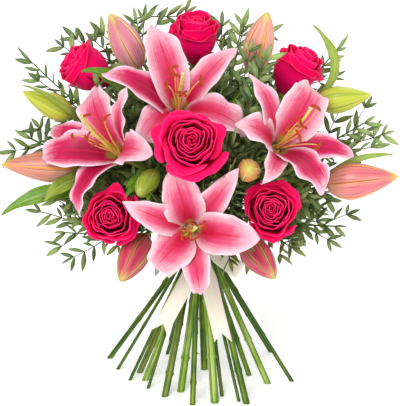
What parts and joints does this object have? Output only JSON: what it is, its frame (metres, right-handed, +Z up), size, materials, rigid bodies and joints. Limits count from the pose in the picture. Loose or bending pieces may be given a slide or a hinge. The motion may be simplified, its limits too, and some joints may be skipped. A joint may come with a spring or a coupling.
{
  "type": "flower bouquet",
  "caption": "Hand-tied bouquet of pink lilies, red roses and leafy sprays with a ribbon bow, standing on its splayed cut stems.",
  "frame": {"origin": "centre of the bounding box, on the surface that the cut stem ends stand on", "axes": "+Z up along the bound stems, -Y towards the front of the bouquet, +X to the right as seen from the front"},
  "size_m": [0.4204, 0.37, 0.415],
  "materials": {
    "lily_petal": "satin petal, white margins, crimson midrib",
    "rose_petal": "velvety petal",
    "pollen": "matte pollen on pale green filaments",
    "pink_bud": "waxy satin",
    "green_bud": "waxy satin",
    "stem": "fresh green stem, satin",
    "lily_leaf": "satin leaf with parallel veins",
    "spray_leaf": "satin leaf",
    "ribbon": "cream satin",
    "twine": "jute"
  },
  "bodies": {
    "root": {"binding_twine": "twine", "green_bud_left": "green_bud", "green_bud_right": "green_bud", "lily_bloom_front": "lily_petal", "lily_bloom_left": "lily_petal", "lily_bloom_right": "lily_petal", "lily_bloom_top": "lily_petal", "lily_leaf_left_long": "lily_leaf", "lily_leaf_left_short": "lily_leaf", "lily_leaf_low": "lily_leaf", "lily_leaf_upper_left": "lily_leaf", "lily_leaf_upper_right": "lily_leaf", "lily_stamens_front": "pollen", "lily_stamens_left": "pollen", "lily_stamens_right": "pollen", "lily_stamens_top": "pollen", "lily_stem_front": "stem", "lily_stem_left": "stem", "lily_stem_right": "stem", "lily_stem_top": "stem", "pink_bud_left": "pink_bud", "pink_bud_low_left": "pink_bud", "pink_bud_low_right": "pink_bud", "pink_bud_right": "pink_bud", "pink_bud_top_left": "pink_bud", "pink_bud_top_right": "pink_bud", "ribbon_knot": "ribbon", "ribbon_loop_left": "ribbon", "ribbon_loop_right": "ribbon", "ribbon_tail_left": "ribbon", "ribbon_tail_right": "ribbon", "ribbon_wrap": "ribbon", "rose_bloom_centre": "rose_petal", "rose_bloom_left": "rose_petal", "rose_bloom_right": "rose_petal", "rose_bloom_top": "rose_petal", "rose_bloom_top_left": "rose_petal", "rose_bloom_top_right": "rose_petal", "rose_stem_centre": "stem", "rose_stem_left": "stem", "rose_stem_right": "stem", "rose_stem_top": "stem", "rose_stem_top_left": "stem", "rose_stem_top_right": "stem", "small_bud_left": "green_bud", "small_bud_right": "green_bud", "spray_back_left": "spray_leaf", "spray_back_right": "spray_leaf", "spray_front_centre": "spray_leaf", "spray_front_left": "spray_leaf", "spray_front_low": "spray_leaf", "spray_left": "spray_leaf", "spray_left_lower": "spray_leaf", "spray_left_upper": "spray_leaf", "spray_right": "spray_leaf", "spray_right_lower": "spray_leaf", "spray_top": "spray_leaf", "spray_top_left": "spray_leaf", "spray_top_right": "spray_leaf"}
  },
  "joints": []
}
